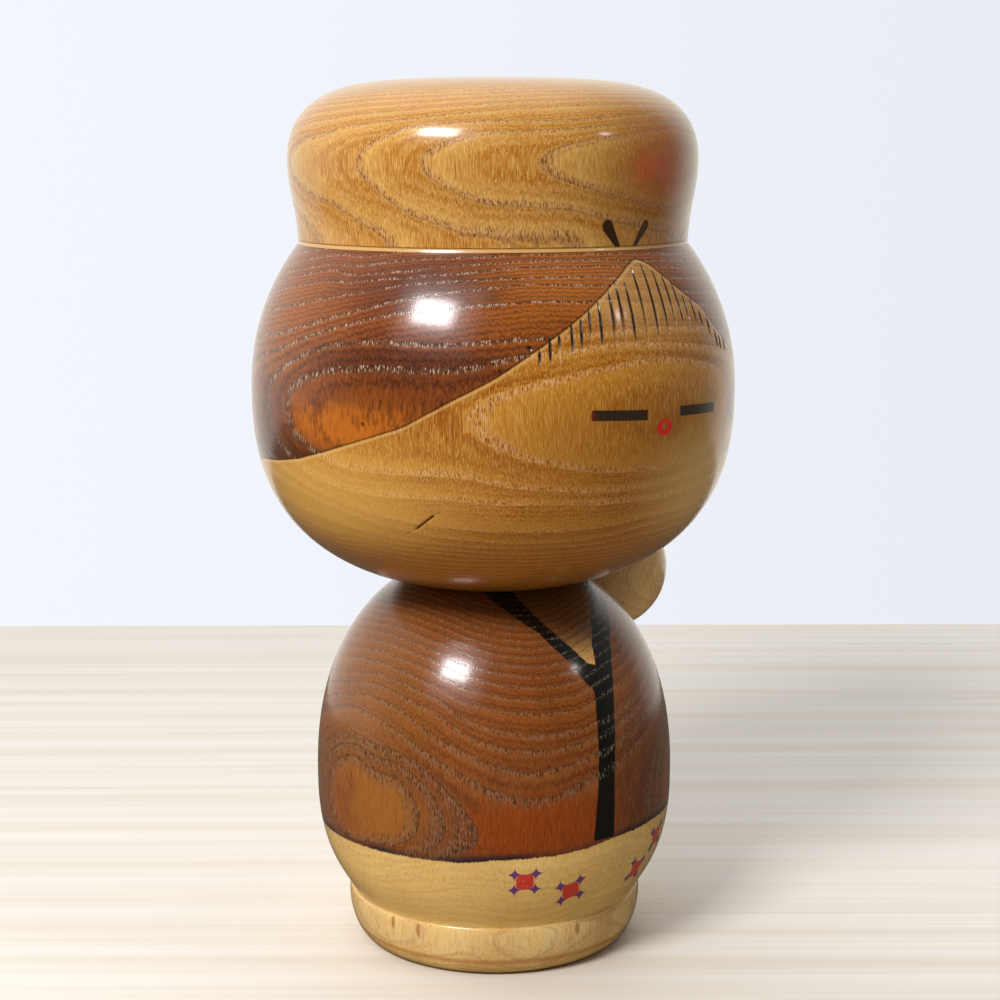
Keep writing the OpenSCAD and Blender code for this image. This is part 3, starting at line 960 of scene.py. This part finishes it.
def dowel_material():
    g = new_material("bare_dowel")
    fibre = g.noise(g.stretched(g.place(), 0.5, 12), 3.0)
    colour = g.mix(g.rise(fibre, 0.3, 0.7), (226, 196, 146), (200, 160, 104))
    return g.shade(colour, g.scaled(fibre, 0.2, 0.55), fibre, 0.00008, coat=0.0)


# ---------------------------------------------------------------- pieces

# Two inked drops under the topknot: upper end, lower end, and their half widths in millimetres
KNOT_MARKS = [((32.6, 152.2), (36.5, 148.3), 1.25, 0.55),
              ((46.7, 152.2), (42.6, 148.3), 0.95, 0.45)]
# Millimetres to a degree where they are
KNOT_WIDE = DEGREE * 40.5
# Where the child's head's own rings are centred, and how far apart they are
CHILD_PITH, CHILD_GAP = (-3.0, 2.0), 1.4


def add_rings(piece, wood):
    """Gives a piece the growth rings of its wood. Returns its vertices' azimuths and heights."""
    azimuth, z, radius = places(piece)
    tilt = wood[1]
    ring, gap = rings_field(azimuth, radius + tilt(azimuth, z), *wood)
    attribute(piece, "ring", ring)
    attribute(piece, "gap", gap)
    return azimuth, z


def finish_piece(piece, material, body, slot, *nodes):
    smooth_shade(piece)
    piece.data.materials.append(material)
    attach(piece, body)
    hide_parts(*nodes)


def make_head():
    piece = lathe("head_turned", head_outline(), azimuths(1.0, [(-23, -10, 0.25), (7.5, 71, 0.18)]))
    azimuth, z = add_rings(piece, HEAD_WOOD)
    depth, ink, scratch = carve_fringe(azimuth, z)
    crack = carve_crack(azimuth, z)
    attribute(piece, "hair", edge_distance(azimuth, z, HAIRLINE, head_radius))
    attribute(piece, "ink", ink)
    attribute(piece, "scratch", scratch)
    attribute(piece, "crack", crack)
    sink(piece, np.maximum(depth, crack))
    finish_piece(piece, head_material(), "head", "stained_zelkova", "head")


def make_topknot():
    piece = lathe("topknot_turned", topknot_outline(), azimuths(1.0, [(28, 52, 0.4)]))
    azimuth, z = add_rings(piece, TOPKNOT_WOOD)
    marks = []
    for top, bottom, wide, narrow in KNOT_MARKS:
        away, t = stroke(azimuth, z, top, bottom, KNOT_WIDE)
        marks.append(away - wide + (wide - narrow) * np.clip(t, 0, 1))
    attribute(piece, "knot", np.minimum(*marks))
    finish_piece(piece, topknot_material(), "head", "natural_zelkova", "topknot")


def at_child():
    """The child's head's own place: its peg's line points down into the shoulder."""
    turn = Matrix.Rotation(math.radians(CHILD_TURN - 90), 4, "Z")
    out = Matrix.Translation(Vector((CHILD_OUT, 0, CHILD_H)) * MM)
    return turn @ out @ Matrix.Rotation(math.radians(90 - PEG_SLOPE), 4, "Y")


def bore_for_child(body):
    """Cuts the child's seat and its peg's hole into the body."""
    outline = [(0, 25), (CHILD_R, 25), (CHILD_R, -CHILD_SEAT), (PEG_R, -CHILD_SEAT),
               (PEG_R, -CHILD_SEAT - PEG_L), (0, -CHILD_SEAT - PEG_L)]
    cutter = lathe("child_bore", outline, azimuths(5.0))
    cutter.data.transform(at_child())
    cut = body.modifiers.new("bore", "BOOLEAN")
    cut.operation, cut.solver, cut.object = "DIFFERENCE", "EXACT", cutter
    bpy.context.view_layer.update()
    depsgraph = bpy.context.evaluated_depsgraph_get()
    mesh = bpy.data.meshes.new_from_object(body.evaluated_get(depsgraph))
    body.modifiers.clear()
    body.data = mesh
    bpy.data.objects.remove(cutter)


def make_body():
    piece = lathe("body_turned", body_outline(), azimuths(1.0, [(-2, 76, 0.5)]))
    bore_for_child(piece)
    azimuth, z = add_rings(piece, BODY_WOOD)
    attribute(piece, "stain", edge_distance(azimuth, z, STAIN_EDGE, body_radius))
    collar = [area_distance(azimuth, z, corners, body_radius)
              for corners in (LEFT_ARM, RIGHT_ARM, STRIPE)]
    attribute(piece, "collar", np.min(collar, axis=0))
    attribute(piece, "bare", area_distance(azimuth, z, BARE_V, body_radius))
    finish_piece(piece, body_material(), "body", "stained_zelkova", "body")


def make_foot():
    piece = lathe("foot_turned", foot_outline(), azimuths(1.5))
    add_rings(piece, BODY_WOOD)
    finish_piece(piece, foot_material(), "body", "natural_zelkova", "foot")


def make_child():
    piece = lathe("child_head_turned", child_outline(), azimuths(3.0))
    piece.data.transform(at_child())
    centre = at_child().translation / MM
    co = np.array([v.co for v in piece.data.vertices], float) / MM - np.array(centre)
    radius = np.hypot(co[:, 0] - CHILD_PITH[0], co[:, 1] - CHILD_PITH[1])
    attribute(piece, "ring", radius / CHILD_GAP)
    attribute(piece, "gap", np.full(len(radius), CHILD_GAP))
    finish_piece(piece, child_material(), "body", "natural_zelkova", "child_head")


def dress_dowels():
    material = dowel_material()
    for name in ("neck_dowel", "topknot_dowel", "child_peg"):
        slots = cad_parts[name].data.materials
        for k in range(max(1, len(slots))):
            if k < len(slots):
                slots[k] = material
            else:
                slots.append(material)


# ---------------------------------------------------------------- stage

# How bright the room is in front, right, left and above, where 1 is plain wall
WORLD_FRONT, WORLD_RIGHT, WORLD_LEFT, WORLD_TOP = 0.07, 0.24, 0.8, 1.6
WALL, MIRRORED_WALL = (0.91, 0.94, 1.0, 1), (0.98, 0.94, 0.86, 1)
# The table's size, and how far it runs on behind the doll's axis, in metres
FLOOR_SIZE, FLOOR_BEHIND = (1.9, 1.0), 0.274
# Name, azimuth, elevation, distance, size, power and colour of each lamp, in metres and watts
LAMPS = [("key", -33, 39.5, 1.0, (0.31, 0.19), 7.0, (0.98, 0.98, 1.0)),
         ("key_panel", -31, 39, 1.02, (0.66, 0.6), 1.3, (0.93, 0.95, 1.0)),
         ("fill", 69, 31, 1.4, (0.07, 0.07), 0.5, (1, 1, 1))]
# Height that the lamps are aimed at, in metres
LAMP_AIM_H = 0.1
# The photograph's camera: distance and height in metres, lens in millimetres, then its turns
CAMERA_AWAY, CAMERA_H, CAMERA_LENS = 0.4201, 0.1691, 73.19
CAMERA_DOWN, CAMERA_ROLL, CAMERA_YAW = 10.17, 0.08, -0.2


def toward(azimuth, elevation, distance):
    """A point seen from the doll's middle, azimuth from the camera's side."""
    a, e = math.radians(azimuth - FACE), math.radians(elevation)
    return Vector((math.sin(a) * math.cos(e), -math.cos(a) * math.cos(e), math.sin(e))) * distance


def make_floor():
    bpy.ops.mesh.primitive_plane_add(size=1)
    floor = bpy.context.object
    floor.name = "floor"
    floor.scale = (*FLOOR_SIZE, 1)
    floor.rotation_euler = (0, 0, math.radians(-FACE))
    floor.location = toward(0, 0, FLOOR_SIZE[1] / 2 - FLOOR_BEHIND)
    g = new_material("pale_table")
    place = g.place()
    soft = g.noise(g.vector("MULTIPLY", place, (0.004, 0.12, 1.0)), 4.0, 0.6)
    colour = g.mix(g.ramp(soft, 0.35, 0.7), (246, 239, 227), (237, 226, 207))
    lines = g.noise(g.vector("MULTIPLY", place, (0.006, 0.9, 1.0)), 2.0)
    colour = g.mix(g.rise(lines, 0.5, 0.75, 0.5), colour, (226, 215, 197))
    # Painted shade: where the doll mirrors the table or takes its bounce light, the table is darker
    # than its own colour, (84, 76, 64) in reflections and (200, 190, 172) elsewhere.
    unseen = g.mix(mirrored(g), (200, 190, 172), (84, 76, 64))
    colour = g.mix(seen_directly(g), unseen, colour)
    floor.data.materials.append(g.shade(colour, 0.5, soft, 0.00002, coat=0.0))


def make_lamp(name, azimuth, elevation, distance, size, power, colour):
    light = bpy.data.lights.new(name, "AREA")
    light.shape, light.size, light.size_y = "RECTANGLE", size[0], size[1]
    light.energy, light.color = power, colour
    lamp = bpy.data.objects.new(name, light)
    bpy.context.scene.collection.objects.link(lamp)
    lamp.location = toward(azimuth, elevation, distance) + Vector((0, 0, LAMP_AIM_H))
    lamp.rotation_euler = (-toward(azimuth, elevation, 1)).to_track_quat("-Z", "Y").to_euler()


def seen_directly(g):
    """1 where the stage itself is looked at, 0 where it lights or is mirrored in the doll."""
    return g.add("ShaderNodeLightPath", {}, "Is Camera Ray")


def mirrored(g):
    """1 where the stage is seen as a reflection in the lacquer."""
    return g.add("ShaderNodeLightPath", {}, "Is Glossy Ray")


def make_world():
    """A pale room: bright behind and beside the doll, dimmer in front, below and to the right."""
    world = bpy.data.worlds.new("studio")
    g = Graph(world)
    direction = g.add("ShaderNodeTexCoord", {}, "Generated")
    across, ahead = (g.vector("DOT_PRODUCT", direction, toward(azimuth, 0, 1), output="Value")
                     for azimuth in (90, 0))
    front = g.ramp(ahead, -0.25, 0.6, 1.0, WORLD_FRONT)
    right = g.math("MAXIMUM", g.ramp(across, 0.05, 0.65, 1.0, WORLD_RIGHT),
                   g.fall(ahead, -0.85, -0.25, 0.95))
    left = g.ramp(across, -1.0, -0.25, WORLD_LEFT, 1.0)
    above = g.ramp(g.split(direction)[2], 0.6, 0.9, 1.0, WORLD_TOP)
    lighting = g.times(g.times(front, above), g.times(left, right))
    wall = g.ramp(across, -0.25, 0.3, 0.985, 0.9)
    background = g.tree.nodes["Background"].inputs
    g.put(background["Color"], g.mix(mirrored(g), WALL, MIRRORED_WALL))
    g.put(background["Strength"], g.choose(seen_directly(g), lighting, wall))
    bpy.context.scene.world = world


def make_camera():
    lens = bpy.data.cameras.new("camera")
    lens.sensor_width, lens.lens = 36.0, CAMERA_LENS
    camera = bpy.data.objects.new("camera", lens)
    bpy.context.scene.collection.objects.link(camera)
    camera.location = toward(0, 0, CAMERA_AWAY) + Vector((0, 0, CAMERA_H))
    turns = (90 - CAMERA_DOWN, CAMERA_ROLL, CAMERA_YAW - FACE)
    camera.rotation_euler = [math.radians(angle) for angle in turns]
    bpy.context.scene.camera = camera


bpy.context.scene.view_settings.view_transform = "Standard"
make_camera()
make_head()
make_topknot()
make_body()
make_foot()
make_child()
dress_dowels()
make_floor()
for lamp in LAMPS:
    make_lamp(*lamp)
make_world()
